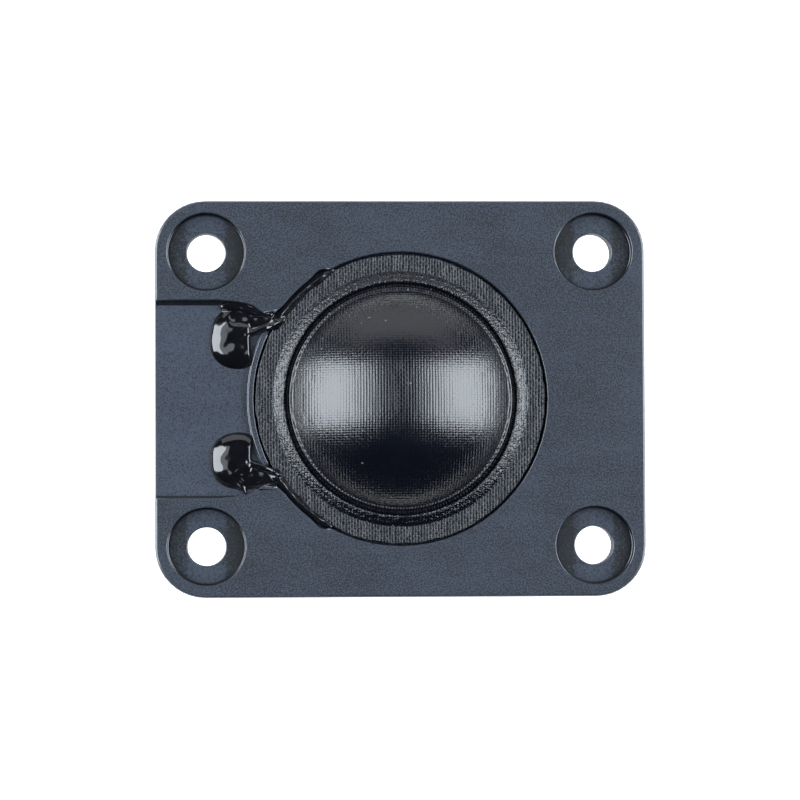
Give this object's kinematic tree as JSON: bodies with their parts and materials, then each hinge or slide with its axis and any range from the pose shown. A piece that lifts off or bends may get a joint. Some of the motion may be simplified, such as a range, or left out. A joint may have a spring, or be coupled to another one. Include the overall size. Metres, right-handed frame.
{
  "type": "car tweeter",
  "caption": "Dome tweeter on a rectangular screw-down faceplate: coated cloth dome, recessed lead channel with glued terminals, neodymium motor cup behind.",
  "frame": {"origin": "centre of the motor cup's rear face, on the dome's axis, which is the bottom centre of the whole part", "axes": "+Z out of the front of the tweeter along the dome's axis, +X along the faceplate's long side and away from the lead channel, +Y along its short side"},
  "size_m": [0.056, 0.0452, 0.0186],
  "materials": {
    "moulded_plastic": "fine matt grain",
    "ring_plastic": "satin",
    "flange_cloth": "coated woven cloth",
    "coated_cloth": "glossy coated woven cloth",
    "former_foil": "bright foil",
    "copper_wire": "enamelled",
    "brass": "stamped, tinned edges",
    "solder": "bright",
    "black_glue": "wet gloss",
    "plated_steel": "zinc plated",
    "nickel": "nickel plated",
    "felt": "grey felt",
    "adhesive": "cured resin",
    "red_paint": "brushed-on spot"
  },
  "bodies": {
    "frame": {"faceplate": "moulded_plastic", "diaphragm_ring": "ring_plastic", "surround_flange": "flange_cloth", "surround": "coated_cloth", "lead_wire_upper": "copper_wire", "lead_wire_lower": "copper_wire", "terminal_rivet_upper": "brass", "terminal_rivet_lower": "brass", "terminal_tab_upper": "brass", "terminal_tab_lower": "brass", "solder_joint_upper": "solder", "solder_joint_lower": "solder", "glue_bead_upper": "black_glue", "glue_bead_lower": "black_glue", "motor_cup": "plated_steel", "magnet": "nickel", "pole_piece": "plated_steel", "dome_damper": "felt", "cup_adhesive": "adhesive", "polarity_dot": "red_paint"},
    "diaphragm": {"dome": "coated_cloth", "coil_former": "former_foil", "coil_winding": "copper_wire"}
  },
  "joints": [
    {"name": "diaphragm_travel", "type": "slide", "parent": "frame", "child": "diaphragm", "axis": [0, 0, 1], "range_m": [-0.0004, 0.0004], "stiffness_N_per_m": 200, "deforming": ["surround", "lead_wire_upper", "lead_wire_lower"]}
  ]
}
